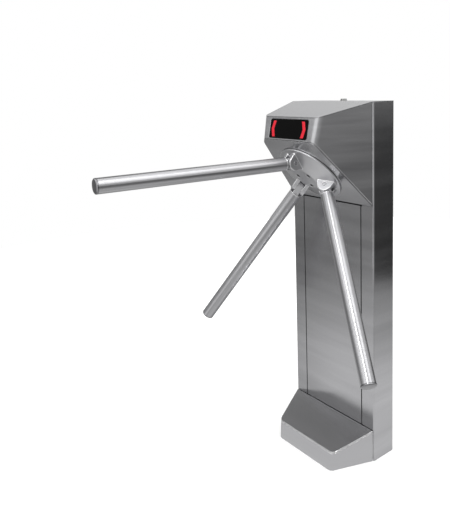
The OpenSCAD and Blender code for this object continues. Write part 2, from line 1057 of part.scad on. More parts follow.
// Fork sensor round the encoder disc, on a bracket from the rear plate
module encoder_sensor() {
    leg_y = -gear_m * gear_z / 2 - gear_m - 6;
    floor_h = shaft_end + 1;
    color("black")
        on_face()
            difference() {
                translate([-9, leg_y, floor_h])
                    cube([18, -leg_y - 22, rear_h - plate_t - floor_h]);
                translate([-10, leg_y + 4, floor_h + 10])
                    cube([20, 200, 200]);
                translate([-10, -33, floor_h + 4])
                    cube([20, 20, 3]);
            }
}

// Gearmotor on the rear plate, with its brake and pinion
motor_screw_d = 4;
motor_screw_in = 6;

module motor_screw_places() {
    for (a = [45 : 90 : 315])
        rotate([0, 0, a])
            translate([motor_d / 2 - 7, 0, 0])
                children();
}

module gearmotor() {
    color(dark)
        on_motor(rear_h)
            difference() {
                union() {
                    cylinder(d = motor_d, h = motor_l * 0.4);
                    cylinder(d = motor_d - 5, h = motor_l);
                }
                motor_screw_places()
                    cylinder(d = motor_screw_d, h = 2 * motor_screw_in + 2, center = true);
            }
}

module motor_screws() {
    color(steel)
        on_motor(rear_h - plate_t)
            motor_screw_places() {
                translate([0, 0, -2.6])
                    cylinder(d = 1.7 * motor_screw_d, h = 2.6);
                translate([0, 0, -eps])
                    cylinder(d = motor_screw_d - 2 * thread_play, h = plate_t + motor_screw_in);
            }
}

module motor_brake() {
    color("black")
        on_motor(rear_h + motor_l)
            cylinder(d = 36, h = 12);
}

module pinion() {
    color("darkgray")
        on_motor(gear_h - gear_w - 1)
            difference() {
                union() {
                    rotate([0, 0, 180 + 180 / pinion_z])
                        linear_extrude(height = gear_w + 1.5)
                            polygon(gear_outline(pinion_z));
                    cylinder(d = 12, h = gear_w + 1 + 3 + plate_t);
                }
                translate([0, 0, -1])
                    cylinder(d = 5, h = 6);
            }
}

// Hub: a shallow cone with three pairs of cheek plates and a pocket between each pair, and
// three sunk bolts into the shaft's flange. A short spigot on the flange centres it
foot_half = cheek_foot / 2;
pocket_half = (tongue_t + tongue_gap) / 2;
spigot_r = 15;
spigot_h = 4;
bolt_head_d = 1.7 * bolt_d;
bolt_sink = 5;

// Cheek outline: a round about the pin drawn down to a foot on the cone, in its own plane. The
// flanks stay a little inside the round so that they cross it cleanly
cheek_low = -pin_over_cone - 3;
flank_r = 0.97 * cheek_r;
flank_turn = acos(flank_r / norm([foot_half, cheek_low])) - atan2(-cheek_low, foot_half);
flank_end = sqrt(cheek_r * cheek_r - flank_r * flank_r);

module cheek_outline() {
    circle(r = cheek_r, $fn = 64);
    polygon([
        [foot_half, cheek_low], flank_r * [cos(flank_turn), sin(flank_turn)],
        flank_r * [-cos(flank_turn), sin(flank_turn)], [-foot_half, cheek_low]
    ]);
}

// Frame of a pivot pin on the hub: x down the cone towards the rim, z along the pin
module on_pin(from) {
    translate([from, pivot_r, pivot_h])
        rotate([-cone_angle, 0, 0])
            rotate([90, 0, 90])
                children();
}

// Stands a flat outline on the pin, between two distances from the arm's middle plane
module in_arm_plane(from, to) {
    on_pin(from)
        linear_extrude(height = to - from)
            children();
}

// Takes off a cheek's outer edge, round the pin and down both flanks
module cheek_edge_cuts() {
    crossing_y = flank_r * sin(flank_turn) - flank_end * cos(flank_turn);
    difference() {
        translate([-cheek_r - 2, crossing_y, 0])
            cube([2 * cheek_r + 4, 2 * cheek_r, cheek_edge + 1]);
        translate([0, 0, -eps])
            cylinder(r1 = cheek_r + eps, r2 = cheek_r - cheek_edge - 1, h = cheek_edge + 1 + 2 * eps,
                $fn = 64);
    }
    for (s = [0, 1])
        mirror([s, 0, 0])
            rotate([0, 0, flank_turn])
                translate([flank_r, -cheek_foot - flank_end, 0])
                    rotate([0, -45, 0])
                        translate([0, 0, -2 * cheek_edge])
                            cube([4 * cheek_edge, cheek_foot, 5 * cheek_edge]);
}

module cheek() {
    difference() {
        in_arm_plane(tongue_t / 2 + tongue_gap, cheek_out)
            cheek_outline();
        on_pin(cheek_out - cheek_edge)
            cheek_edge_cuts();
    }
}

module hub_bolt_places() {
    for (a = [60 : 120 : 300])
        rotate([0, 0, a + 90])
            translate([bolt_r, 0, 0])
                children();
}

// Half section of the hub's disc, its rim rounded into the cone
function hub_section() =
    let (z = rim_h + rim_r * cone_slope - rim_r / cos(cone_angle))
    concat(
        [[0, hub_gap], [hub_r, hub_gap]],
        [for (i = [0 : 4])
            let (a = (90 - cone_angle) * i / 4)
            [hub_r - rim_r + rim_r * cos(a), z + rim_r * sin(a)]],
        [[flat_r, hub_h], [0, hub_h]]
    );

module hub() {
    color("gainsboro")
        on_hub()
            difference() {
                union() {
                    rotate_extrude($fn = 144)
                        polygon(hub_section());
                    for (k = [0 : 2])
                        rotate([0, 0, 120 * k])
                            for (s = [0, 1])
                                mirror([s, 0, 0])
                                    cheek();
                }
                for (k = [0 : 2])
                    rotate([0, 0, 120 * k]) {
                        in_arm_plane(-pocket_half, pocket_half)
                            circle(r = heel_r + 1.5, $fn = 64);
                        in_arm_plane(-cheek_out - 1, cheek_out + 1)
                            circle(d = pin_d);
                    }
                hub_bolt_places() {
                    cylinder(d = bolt_d + 0.5, h = 100, center = true);
                    translate([0, 0, hub_h - bolt_sink])
                        cylinder(d = bolt_head_d + 0.6, h = 20);
                }
                cylinder(r = spigot_r + 0.1, h = 2 * (hub_gap + spigot_h + seat_play), center = true);
            }
}

module hub_bolts() {
    seat = hub_h - bolt_sink;
    tip = hub_gap - flange_t + 1;
    color(dark)
        on_hub()
            hub_bolt_places()
                difference() {
                    union() {
                        translate([0, 0, seat])
                            cylinder(d = bolt_head_d, h = bolt_sink - 0.4);
                        translate([0, 0, tip])
                            cylinder(d = bolt_d - 2 * thread_play, h = seat - tip + eps);
                    }
                    translate([0, 0, seat + 1])
                        cylinder(d = bolt_d * 0.85, h = 10, $fn = 6);
                }
}

// Pivot pins, pressed into the cheeks
module pivot_pins() {
    color(dark)
        for (k = [1 : 3])
            on_arm(k)
                rotate([0, 90, 0])
                    union() {
                        cylinder(d = pin_d, h = 2 * cheek_out, center = true);
                        for (s = [-1, 1])
                            translate([0, 0, s * cheek_out])
                                cylinder(d = pin_d - 2, h = 1.2, center = true);
                    }
}

// Arm: a forked-in tongue with a plug, the tube on it and a domed cap at the end
module arm_knuckle(k) {
    bore = arm_d - 2 * arm_wall;
    color("gainsboro")
        on_arm(k)
            difference() {
                union() {
                    rotate([90, 0, 90])
                        linear_extrude(height = tongue_t, center = true) {
                            circle(r = heel_r, $fn = 64);
                            translate([-heel_r, 0])
                                square([2 * heel_r, arm_start - 3]);
                        }
                    translate([0, 0, arm_start - 3.5])
                        cylinder(d = arm_d, h = 3.5, $fn = 96);
                    translate([0, 0, arm_start - eps])
                        cylinder(d = bore, h = plug_l);
                }
                rotate([0, 90, 0])
                    cylinder(d = pin_d + 2 * pin_play, h = 100, center = true);
            }
}

module arm_tube(k) {
    color(steel)
        on_arm(k)
            translate([0, 0, arm_start])
                difference() {
                    cylinder(d = arm_d, h = arm_reach - arm_start - 2 * cap_h, $fn = 96);
                    translate([0, 0, -1])
                        cylinder(d = arm_d - 2 * arm_wall, h = arm_reach);
                }
}

// The cap's outer edge is broken at the tube, so that a fine ring shows between them
module arm_cap(k) {
    r = arm_d / 2;
    face_r = r - cap_bevel;
    brim = cap_h + 0.8 * cap_bevel;
    dome = 2 * cap_h - brim;
    color("lightgray")
        on_arm(k)
            translate([0, 0, arm_reach - 2 * cap_h]) {
                rotate_extrude($fn = 96)
                    polygon(concat([[0, 0], [r - 0.6, 0], [r, 0.8], [r, cap_h]],
                        [for (i = [5 : -1 : 0]) [face_r * i / 5, brim + dome * (1 - i * i / 25)]]));
                translate([0, 0, -plug_l / 2])
                    cylinder(d = arm_d - 2 * arm_wall, h = plug_l / 2 + eps);
            }
}

// Control electronics on the column's back wall, behind the service panel
module control_board() {
    color("green")
        on_back(board_z)
            translate([-board_w / 2, -board_h / 2, post_h])
                cube([board_w, board_h, board_t]);
}

module board_posts() {
    color(dark)
        on_back(board_z)
            for (x = [-1, 1], y = [-1, 1])
                translate([x * (board_w / 2 - 6), y * (board_h / 2 - 6), 0])
                    cylinder(d = 6, h = post_h);
}

module board_parts() {
    color("black")
        on_back(board_z)
            translate([-board_w / 2, 0, post_h + board_t]) {
                for (s = [-1, 1], i = [0 : 7])
                    translate([1.5 * connector_w + i * (connector_w + 2),
                        s * (board_h / 2 - 1.5 * connector_d) - connector_d / 2, 0])
                        cube([connector_w, connector_d, connector_w]);
                for (i = [0 : 2])
                    translate([0.9 * relay_w + i * (relay_w + 3), -relay_d / 2, 0])
                        cube([relay_w, relay_d, relay_h]);
                for (i = [0, 1])
                    translate([board_w - 1.5 * can_d - i * 1.4 * can_d, 0.3 * can_d, 0])
                        cylinder(d = can_d, h = can_h);
                translate([board_w / 2 + chip_w / 2, -1.5 * chip_w, 0])
                    cube([chip_w, chip_w, 3]);
            }
}

module power_supply() {
    color("lightgray")
        on_back(supply_z)
            difference() {
                translate([-supply_w / 2, -supply_h / 2, 0])
                    cube([supply_w, supply_h, supply_d]);
                for (i = [1 : 9])
                    translate([(i / 11 - 0.5) * supply_w, -0.32 * supply_h, supply_d - 1])
                        cube([supply_w / 26, supply_h / 2, 3]);
                translate([-0.44 * supply_w, 0.32 * supply_h, 0.6 * supply_d])
                    cube([0.88 * supply_w, supply_h / 4, supply_d]);
            }
}

module terminal_rail() {
    color(steel)
        on_back(rail_z)
            translate([-rail_l / 2, -rail_w / 2, 0])
                difference() {
                    cube([rail_l, rail_w, rail_h]);
                    translate([-1, rail_lip, 1])
                        cube([rail_l + 2, rail_w - 2 * rail_lip, rail_h]);
                }
}

module terminals() {
    color("gray")
        on_back(rail_z)
            for (i = [0 : terminal_n - 1])
                translate([(i - terminal_n / 2) * terminal_w, -terminal_l / 2, rail_h])
                    difference() {
                        cube([terminal_w - 1, terminal_l, terminal_h]);
                        for (y = [1, 5])
                            translate([(terminal_w - 1) / 2, y * terminal_l / 6, terminal_h - 8])
                                cylinder(d = terminal_w / 2, h = 10, $fn = 24);
                    }
}

base_plate();
column_shell();
service_panel();
foot_skirt();
foot_lid();
cable_grommet();
head_shell();
hub_plate();
display_window();
light_strips();
display_board();
board_spacers();
lid();
lock_barrel();
lock_nut();
lock_plug();
lock_cam();
lock_keeper();
mechanism_plate();
plate_bolts();
pillars();
rear_plate();
bearing_housing();
housing_screws();
bearing_outer_rings();
bearing_balls();
bearing_inner_rings();
main_shaft();
hub();
hub_bolts();
pivot_pins();
drive_gear();
drive_key();
circlips();
encoder_disc();
encoder_sensor();
gearmotor();
motor_screws();
motor_brake();
pinion();
arm_knuckle(1);  // arm_knuckle_1
arm_knuckle(2);  // arm_knuckle_2
arm_knuckle(3);  // arm_knuckle_3
arm_tube(1);  // arm_tube_1
arm_tube(2);  // arm_tube_2
arm_tube(3);  // arm_tube_3
arm_cap(1);  // arm_cap_1
arm_cap(2);  // arm_cap_2
arm_cap(3);  // arm_cap_3
control_board();
board_parts();
board_posts();
power_supply();
terminal_rail();
terminals();
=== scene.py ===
"""Tripod turnstile: folded stainless column and head, tilted hub with three folding arms, and a foot."""
import json
import math

import bpy
from mathutils import Matrix, Vector

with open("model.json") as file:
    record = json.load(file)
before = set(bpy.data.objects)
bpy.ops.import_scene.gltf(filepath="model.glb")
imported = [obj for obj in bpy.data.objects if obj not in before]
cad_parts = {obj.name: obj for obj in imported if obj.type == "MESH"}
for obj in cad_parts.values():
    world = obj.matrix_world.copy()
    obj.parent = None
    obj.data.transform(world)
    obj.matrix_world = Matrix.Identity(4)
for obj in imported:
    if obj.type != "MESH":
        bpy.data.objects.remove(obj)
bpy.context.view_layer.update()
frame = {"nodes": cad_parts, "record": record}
nodes = frame["nodes"]

# Camera
# Stands beside the passage at about head height and looks down on the turnstile, which fills
# the right half of the frame; the shift keeps its uprights as the photograph shows them.
camera = bpy.data.objects.new("camera", bpy.data.cameras.new("camera"))
bpy.context.scene.collection.objects.link(camera)
camera.data.sensor_width = 36
camera.data.lens = 40.496
camera.data.shift_x = -0.1169
camera.data.shift_y = -0.1723
camera.data.clip_end = 50
camera.matrix_world = (
    Matrix.Translation((1.2184, -1.1994, 1.0881))
    @ Matrix.Rotation(math.radians(49.906), 4, "Z")
    @ Matrix.Rotation(math.radians(82.114), 4, "X")
    @ Matrix.Rotation(math.radians(-1.269), 4, "Z")
)
bpy.context.scene.camera = camera
bpy.context.scene.view_settings.view_transform = "Standard"


# Studio floor
# A wide round of white paper under the turnstile, which takes its soft shadow. In gloss the
# paper fades with distance as it leaves the lamp, and it is shaded on the turnstile's left.
def linear(code):
    """An sRGB hex colour as the linear RGBA that a shader takes."""
    parts = [int(code[i:i + 2], 16) / 255 for i in (1, 3, 5)]
    return [c / 12.92 if c <= 0.04045 else ((c + 0.055) / 1.055) ** 2.4 for c in parts] + [1.0]


def node(tree, kind, links=(), stops=(), **settings):
    """A shader node with its settings; a pair in links joins an output to one of its sockets.

    Stops are the places, from 0 to 1, and the hex colours of a colour ramp.
    """
    made = tree.nodes.new("ShaderNode" + kind)
    for name, value in settings.items():
        if hasattr(made, name):
            setattr(made, name, value)
        else:
            made.inputs[name.replace("_", " ")].default_value = value
    for source, socket in links:
        tree.links.new(source, made.inputs[socket])
    for i, (place, code) in enumerate(stops):
        step = made.color_ramp.elements[i] if i < 2 else made.color_ramp.elements.new(place)
        step.position = place
        step.color = linear(code)
    return made


def material(name):
    """A new material with an empty node tree, and its output node."""
    made = bpy.data.materials.new(name)
    made.use_nodes = True
    made.node_tree.nodes.clear()
    return made, made.node_tree, node(made.node_tree, "OutputMaterial")


def wear(piece, made):
    """Gives the whole piece one material."""
    piece.data.materials.clear()
    piece.data.materials.append(made)


def round_room(tree, tones):
    """Greys round the room; each tone is an angle in degrees from +X towards +Y and a hex colour."""
    spot = node(tree, "TexCoord")
    place = node(tree, "SeparateXYZ", [(spot.outputs["Object"], 0)])
    turn = node(tree, "Math", [(place.outputs["Y"], 0), (place.outputs["X"], 1)], operation="ARCTAN2")
    share = node(tree, "MapRange", [(turn.outputs[0], "Value")], From_Min=-math.pi, From_Max=math.pi)
    return node(tree, "ValToRGB", [(share.outputs[0], "Fac")],
                stops=[((angle + 180) / 360, code) for angle, code in tones]).outputs["Color"]


def seen(tree):
    """1 for rays from the camera, from gloss and through glass, 0 for the light that fills."""
    path = node(tree, "LightPath")
    gloss = node(tree, "Math", [(path.outputs["Is Camera Ray"], 0), (path.outputs["Is Glossy Ray"], 1)],
                 operation="MAXIMUM")
    return node(tree, "Math", [(gloss.outputs[0], 0), (path.outputs["Is Transmission Ray"], 1)],
                operation="MAXIMUM").outputs[0]


room_r = 3.2
under_floor = 0.0006
low_wall = [(-180, "#A8A8A8"), (-160, "#7C7C7C"), (-142, "#808080"), (-132, "#909090"), (-118, "#989898"),
            (-108, "#FFFFFF"), (-82, "#FFFFFF"), (-64, "#B8B8B8"), (-45, "#A0A0A0"), (-20, "#909090"),
            (8, "#7C7C7C"), (32, "#626262"), (44, "#3E3E3E"), (50, "#373737"), (68, "#373737"),
            (90, "#969696"), (140, "#B4B4B4"), (180, "#A8A8A8")]
left_shade = [(-180, "#D0D0D0"), (-150, "#D8D8D8"), (-134, "#FFFFFF"), (120, "#FFFFFF"), (160, "#D0D0D0"),
              (180, "#D0D0D0")]

bpy.ops.object.select_all(action="DESELECT")
bpy.ops.mesh.primitive_circle_add(vertices=128, radius=room_r, fill_type="NGON", location=(0, 0, -under_floor))
floor = bpy.context.active_object
floor.name = "studio_floor"
bpy.ops.object.transform_apply()
paper, tree, out = material("white_paper")
white = node(tree, "BsdfDiffuse", Color=linear("#D8D8D8"))
spot = node(tree, "TexCoord")
reach = node(tree, "VectorMath", [(spot.outputs["Object"], 0)], operation="LENGTH")
# Away from the turnstile the paper glows up to white for the eye, as a lit backdrop does.
raised = node(tree, "MapRange", [(reach.outputs["Value"], "Value")], From_Min=0.5, From_Max=1.6, To_Min=0.45,
              To_Max=0.9)
lift = node(tree, "Math", [(seen(tree), 0), (raised.outputs[0], 1)], operation="MULTIPLY")
glow = node(tree, "Emission", [(lift.outputs[0], "Strength")], Color=linear("#FFFFFF"))
lit = node(tree, "AddShader", [(white.outputs[0], 0), (glow.outputs[0], 1)])
# What gloss sees: greys by distance, each place a share of 2 m, and from 1.7 m out the wall's foot.
away = node(tree, "MapRange", [(reach.outputs["Value"], "Value")], From_Max=2.0)
fade = node(tree, "ValToRGB", [(away.outputs[0], "Fac")],
            stops=[(0.3, "#E9E9E9"), (0.4, "#DBDBDB"), (0.475, "#CACACA"), (0.55, "#BDBDBD"),
                   (0.725, "#B0B0B0"), (0.82, "#A6A6A6")])
near = node(tree, "MixRGB", [(fade.outputs["Color"], "Color1"), (round_room(tree, left_shade), "Color2")],
            blend_type="MULTIPLY", Fac=1.0)
edge = node(tree, "MapRange", [(reach.outputs["Value"], "Value")], From_Min=1.70, From_Max=1.73)
tone = node(tree, "MixRGB", [(edge.outputs[0], "Fac"), (near.outputs[0], "Color1"),
                             (round_room(tree, low_wall), "Color2")])
sheen = node(tree, "Emission", [(tone.outputs[0], "Color")])
path = node(tree, "LightPath")
mix = node(tree, "MixShader", [(path.outputs["Is Glossy Ray"], 0), (lit.outputs[0], 1), (sheen.outputs[0], 2)])
tree.links.new(mix.outputs[0], out.inputs["Surface"])
wear(floor, paper)

# Studio walls
# Paper hung round the floor, dark low down, light above head height and lightest at its top.
# Only the gloss of the steel sees it, so that faces that lean differently part in tone.
high_wall = [(-180, "#D0D0D0"), (-158, "#B0B0B0"), (-112, "#B0B0B0"), (-100, "#FFFFFF"), (-60, "#FFFFFF"),
             (-52, "#A8A8A8"), (-10, "#A8A8A8"), (8, "#D8D8D8"), (32, "#FFFFFF"), (60, "#E8E8E8"),
             (110, "#E8E8E8"), (126, "#E0E0E0"), (137, "#D6D6D6"), (180, "#CCCCCC")]
crown_wall = [(-180, "#BCBCBC"), (-165, "#FFFFFF"), (-60, "#FFFFFF"), (-36, "#C0C0C0"), (-10, "#FFFFFF"),
              (26, "#FFFFFF"), (60, "#D8D8D8"), (110, "#E4E4E4"), (126, "#E0E0E0"), (137, "#D6D6D6"),
              (180, "#CCCCCC")]
wall_low_end, wall_high_end = -0.6, 3.6

bpy.ops.object.select_all(action="DESELECT")
bpy.ops.mesh.primitive_cylinder_add(vertices=128, radius=room_r, depth=wall_high_end - wall_low_end,
                                    end_fill_type="NOTHING",
                                    location=(0, 0, (wall_low_end + wall_high_end) / 2))
walls = bpy.context.active_object
walls.name = "studio_walls"
bpy.ops.object.transform_apply()
hung, tree, out = material("hung_paper")
spot = node(tree, "TexCoord")
place = node(tree, "SeparateXYZ", [(spot.outputs["Object"], 0)])
# The low greys give way to the high ones from 0.85 to 1.6 m up, and those to the crown from 1.8 m.
height = node(tree, "MapRange", [(place.outputs["Z"], "Value")], interpolation_type="SMOOTHSTEP",
              From_Min=0.85, From_Max=1.6)
tone = node(tree, "MixRGB", [(height.outputs[0], "Fac"), (round_room(tree, low_wall), "Color1"),
                             (round_room(tree, high_wall), "Color2")])
crown = node(tree, "MapRange", [(place.outputs["Z"], "Value")], From_Min=1.8, From_Max=2.0)
tone = node(tree, "MixRGB", [(crown.outputs[0], "Fac"), (tone.outputs[0], "Color1"),
                             (round_room(tree, crown_wall), "Color2")])
glow = node(tree, "Emission", [(tone.outputs[0], "Color")], Strength=1.15)
tree.links.new(glow.outputs[0], out.inputs["Surface"])
wear(walls, hung)


# Studio cards
# Level cards under the ceiling that only gloss sees: a grey one on the left for the foot's top,
# and two bright ones that draw the lines of light along the polished arms.
def card(name, middle, size, tones):
    """A card with its middle and size in metres; each tone is a share of its width and a hex colour."""
    bpy.ops.mesh.primitive_plane_add(size=1, location=middle)
    made = bpy.context.active_object
    made.name = name
    made.scale = (*size, 1)
    bpy.ops.object.transform_apply(scale=True, location=True)
    grey, tree, out = material(name)
    spot = node(tree, "TexCoord")
    across = node(tree, "SeparateXYZ", [(spot.outputs["Object"], 0)])
    share = node(tree, "MapRange", [(across.outputs["X"], "Value")], From_Min=middle[0] - size[0] / 2,
                 From_Max=middle[0] + size[0] / 2)
    tone = node(tree, "ValToRGB", [(share.outputs[0], "Fac")], stops=tones)
    glow = node(tree, "Emission", [(tone.outputs["Color"], "Color")], Strength=2.8)
    tree.links.new(glow.outputs[0], out.inputs["Surface"])
    wear(made, grey)
    return made


grey_card = card("grey_card", (-2.1, 0.25, 2.66), (2.4, 2.4), [(0.0, "#535353"), (1.0, "#535353")])
front_card = card("front_card", (-0.8, -2.4, 2.62), (2.3, 1.3), [(0.0, "#F0F0F0"), (1.0, "#F0F0F0")])
# The soft box as the arms show it: two lit halves and the darker seam of its cloth between them.
cloth_card = card("cloth_card", (0.975, -0.1, 2.6), (3.85, 1.7),
                  [(0.0, "#C4C4C4"), (0.38, "#C4C4C4"), (0.41, "#888888"), (0.46, "#888888"), (0.5, "#FFFFFF"),
                   (1.0, "#FFFFFF")])
for hung_up in (walls, grey_card, front_card, cloth_card):
    hung_up.visible_camera = False
    hung_up.visible_diffuse = False
    hung_up.visible_transmission = False
    hung_up.visible_shadow = False

# Lights
# One wide soft box over the turnstile and a little behind it, a small one high in front that
# brightens the cheek plates and the hub, and an even white surround.
soft_box = bpy.data.objects.new("soft_box", bpy.data.lights.new("soft_box", "AREA"))
bpy.context.scene.collection.objects.link(soft_box)
# In gloss the cloth card takes its place.
soft_box.visible_glossy = False
soft_box.data.shape = "SQUARE"
soft_box.data.size = 2.8
soft_box.data.energy = 38
soft_box.matrix_world = Matrix.Translation((0.45, 0.4, 2.6))

front_box = bpy.data.objects.new("front_box", bpy.data.lights.new("front_box", "AREA"))
bpy.context.scene.collection.objects.link(front_box)
front_box.data.shape = "SQUARE"
front_box.data.size = 0.5
front_box.data.energy = 13
stand = Vector((0.6, -1.2, 2.35))
aimed_at = Vector((0.06, -0.1, 0.82))
aim = (aimed_at - stand).to_track_quat("-Z", "Y")
front_box.matrix_world = Matrix.Translation(stand) @ aim.to_matrix().to_4x4()

world = bpy.data.worlds.new("studio")
bpy.context.scene.world = world
world.use_nodes = True
tree = world.node_tree
tree.nodes.clear()
fill = node(tree, "Background", Color=linear("#FFFFFF"), Strength=0.6)
white = node(tree, "Background", Color=linear("#FFFFFF"), Strength=1.0)
mix = node(tree, "MixShader", [(seen(tree), 0), (fill.outputs[0], 1), (white.outputs[0], 2)])
node(tree, "OutputWorld", [(mix.outputs[0], "Surface")])


# Column, head, lid and foot
# Folded 2 mm sheet, 1.4301 stainless, brushed to a satin along its height. The brushing draws
# highlights out sideways, slow waves of the rolled sheet show as bands, and bends catch light,
# helped by a painted highlight on the head's and foot's bends and painted shade on the column's.
def painted_edge_mask(tree, corner):
    """1 on bends and edges, 0 on the flats between them; corner is the node that rounds the normals.

    It marks where the edges' painted highlight, and on the column their painted shade, goes. It starts
    where the rounded normal leans 6 degrees and is full at 26; the numbers are cosines.
    """
    shape = node(tree, "NewGeometry")
    same = node(tree, "VectorMath", [(shape.outputs["Normal"], 0), (corner.outputs[0], 1)],
                operation="DOT_PRODUCT")
    return node(tree, "MapRange", [(same.outputs["Value"], "Value")], From_Min=0.995, From_Max=0.9).outputs[0]


def satin_sheet(name, bend, dark, light, painted_edge_colour, cut_rim=0.0):
    """Brushed sheet: its bends' radius in metres, the bands' two tones and the bends' colour.

    The bends' colour is painted light: a painted highlight where it is bright, painted shade where dark.
    With cut_rim at 1, a rim that is cut and not folded stays sharp under the lid.
    """
    made, tree, out = material(name)
    spot = node(tree, "TexCoord")
    # Brush strokes are 0.2 mm wide on the real sheet; they are drawn 1.5 mm wide so that they show.
    along = node(tree, "Mapping", [(spot.outputs["Object"], 0)], Scale=(660, 660, 9))
    strokes = node(tree, "TexNoise", [(along.outputs[0], 0)], Scale=1.0)
    # The rolled bands are 50 mm high and run across the sheet.
    across = node(tree, "Mapping", [(spot.outputs["Object"], 0)], Scale=(1.5, 1.5, 20))
    bands = node(tree, "TexNoise", [(across.outputs[0], 0)], Scale=1.0, Detail=3.0)
    corner = node(tree, "Bevel", samples=6, Radius=bend)
    # At a cut rim the rounded normal turns up from the face, and the face's own is taken instead.
    shape = node(tree, "NewGeometry")
    turned_up = node(tree, "VectorMath", [(corner.outputs[0], 0), (shape.outputs["Normal"], 1)],
                     operation="SUBTRACT")
    upward = node(tree, "SeparateXYZ", [(turned_up.outputs[0], 0)])
    sharp = node(tree, "MapRange", [(upward.outputs["Z"], "Value")], From_Min=0.03, From_Max=0.1, To_Max=cut_rim)
    facing = node(tree, "MixRGB", [(sharp.outputs[0], "Fac"), (corner.outputs[0], "Color1"),
                                   (shape.outputs["Normal"], "Color2")])
    relief = node(tree, "Bump", [(strokes.outputs[0], "Height"), (facing.outputs[0], "Normal")], Strength=0.04,
                  Distance=0.0004)
    # Light streaks out across the strokes, level on upright faces; 0.1 gives level faces a way too.
    level = node(tree, "VectorMath", [(shape.outputs["Normal"], 0)], operation="CROSS_PRODUCT")
    level.inputs[1].default_value = (0, 0.1, 1)
    grain = node(tree, "VectorMath", [(level.outputs[0], 0)], operation="NORMALIZE")
    banded = node(tree, "ValToRGB", [(bands.outputs[0], "Fac")], stops=[(0.3, dark), (0.7, light)])
    # Bends take a colour of their own: painted highlight where it is bright, painted shade where it is dark.
    edge_painted = node(tree, "MixRGB", [(painted_edge_mask(tree, facing), "Fac"), (banded.outputs["Color"], "Color1")],
                 Color2=linear(painted_edge_colour))
    dull = node(tree, "MapRange", [(bands.outputs[0], "Value")], From_Min=0.3, From_Max=0.7, To_Min=0.18,
                To_Max=0.25)
    steel = node(tree, "BsdfPrincipled", [(edge_painted.outputs[0], "Base Color"), (dull.outputs[0], "Roughness"),
                                          (grain.outputs[0], "Tangent"), (relief.outputs[0], "Normal")],
                 Metallic=1.0, Anisotropic=0.6)
    tree.links.new(steel.outputs[0], out.inputs["Surface"])
    return made


# The column's bends are painted dark, a painted shade that tones down their highlight.
satin = satin_sheet("satin_stainless_sheet", 0.0012, "#B4B4B6", "#C5C5C7", "#565658")
for name in ("column_shell", "service_panel", "hub_plate", "lid"):
    wear(nodes[name], satin)
# The head's wide bends are painted light, a painted highlight.
wear(nodes["head_shell"],
     satin_sheet("satin_stainless_wide_bends", 0.005, "#A7A7A9", "#D0D0D2", "#D4D4D6", cut_rim=1.0))
# The foot's folds are painted white, a painted highlight along its edges.
satin = satin_sheet("satin_stainless_painted_fold_highlight", 0.002, "#BABABC", "#C0C0C2", "#FFFFFF")
for name in ("foot_skirt", "foot_lid"):
    wear(nodes[name], satin)

# Floor plate and cable grommet
# Hot-rolled 8 mm plate with a galvanised coat, whose zinc flowers show as patches of grey, and
# a moulded rubber ring, dull and finely pitted, pressed into its cable hole.
zinc, tree, out = material("galvanised_plate")
spot = node(tree, "TexCoord")
# Zinc flowers are about 11 mm wide on a plate this thick.
flowers = node(tree, "TexVoronoi", [(spot.outputs["Object"], 0)], Scale=90)
patch = node(tree, "SeparateColor", [(flowers.outputs["Color"], 0)])
flake = node(tree, "ValToRGB", [(patch.outputs[0], "Fac")], stops=[(0.0, "#94989B"), (1.0, "#B4B8BC")])
dull = node(tree, "MapRange", [(patch.outputs[1], "Value")], To_Min=0.34, To_Max=0.5)
steel = node(tree, "BsdfPrincipled", [(flake.outputs["Color"], "Base Color"), (dull.outputs[0], "Roughness")],
             Metallic=1.0)
tree.links.new(steel.outputs[0], out.inputs["Surface"])
wear(nodes["base_plate"], zinc)

rubber, tree, out = material("moulded_rubber")
spot = node(tree, "TexCoord")
# Pits are 0.1 mm wide on the real ring; they are drawn 1.4 mm wide so that they show.
pores = node(tree, "TexNoise", [(spot.outputs["Object"], 0)], Scale=700)
black = node(tree, "ValToRGB", [(pores.outputs[0], "Fac")], stops=[(0.3, "#171717"), (0.7, "#202020")])
relief = node(tree, "Bump", [(pores.outputs[0], "Height")], Strength=0.2, Distance=0.0003)
skin = node(tree, "BsdfPrincipled", [(black.outputs["Color"], "Base Color"), (relief.outputs[0], "Normal")],
            Roughness=0.62)
tree.links.new(skin.outputs[0], out.inputs["Surface"])
wear(nodes["cable_grommet"], rubber)

# Display
# A window of smoked acrylic, gloss with a faint orange peel, and two red acrylic light guides
# set into it, each lit from behind by a row of diodes 18 mm apart.
acrylic, tree, out = material("smoked_acrylic")
spot = node(tree, "TexCoord")
# The peel's waves are 17 mm long.
peel = node(tree, "TexNoise", [(spot.outputs["Object"], 0)], Scale=60)
relief = node(tree, "Bump", [(peel.outputs[0], "Height")], Strength=0.03, Distance=0.0005)
dull = node(tree, "MapRange", [(peel.outputs[0], "Value")], From_Min=0.3, From_Max=0.7, To_Min=0.08,
            To_Max=0.14)
glass = node(tree, "BsdfPrincipled", [(relief.outputs[0], "Normal"), (dull.outputs[0], "Roughness")],
             Base_Color=linear("#070707"), Specular_IOR_Level=0.07)
tree.links.new(glass.outputs[0], out.inputs["Surface"])
wear(nodes["display_window"], acrylic)

red, tree, out = material("lit_red_acrylic")
spot = node(tree, "TexCoord")
diodes = node(tree, "TexWave", [(spot.outputs["Object"], 0)], bands_direction="Z", Scale=17.5, Distortion=0.0)
hot = node(tree, "ValToRGB", [(diodes.outputs["Fac"], "Fac")], stops=[(0.0, "#C10E21"), (1.0, "#D91126")])
glass = node(tree, "BsdfPrincipled", [(hot.outputs["Color"], "Emission Color")], Base_Color=linear("#CE1028"),
             Roughness=0.25, Emission_Strength=0.32)
tree.links.new(glass.outputs[0], out.inputs["Surface"])
wear(nodes["light_strips"], red)

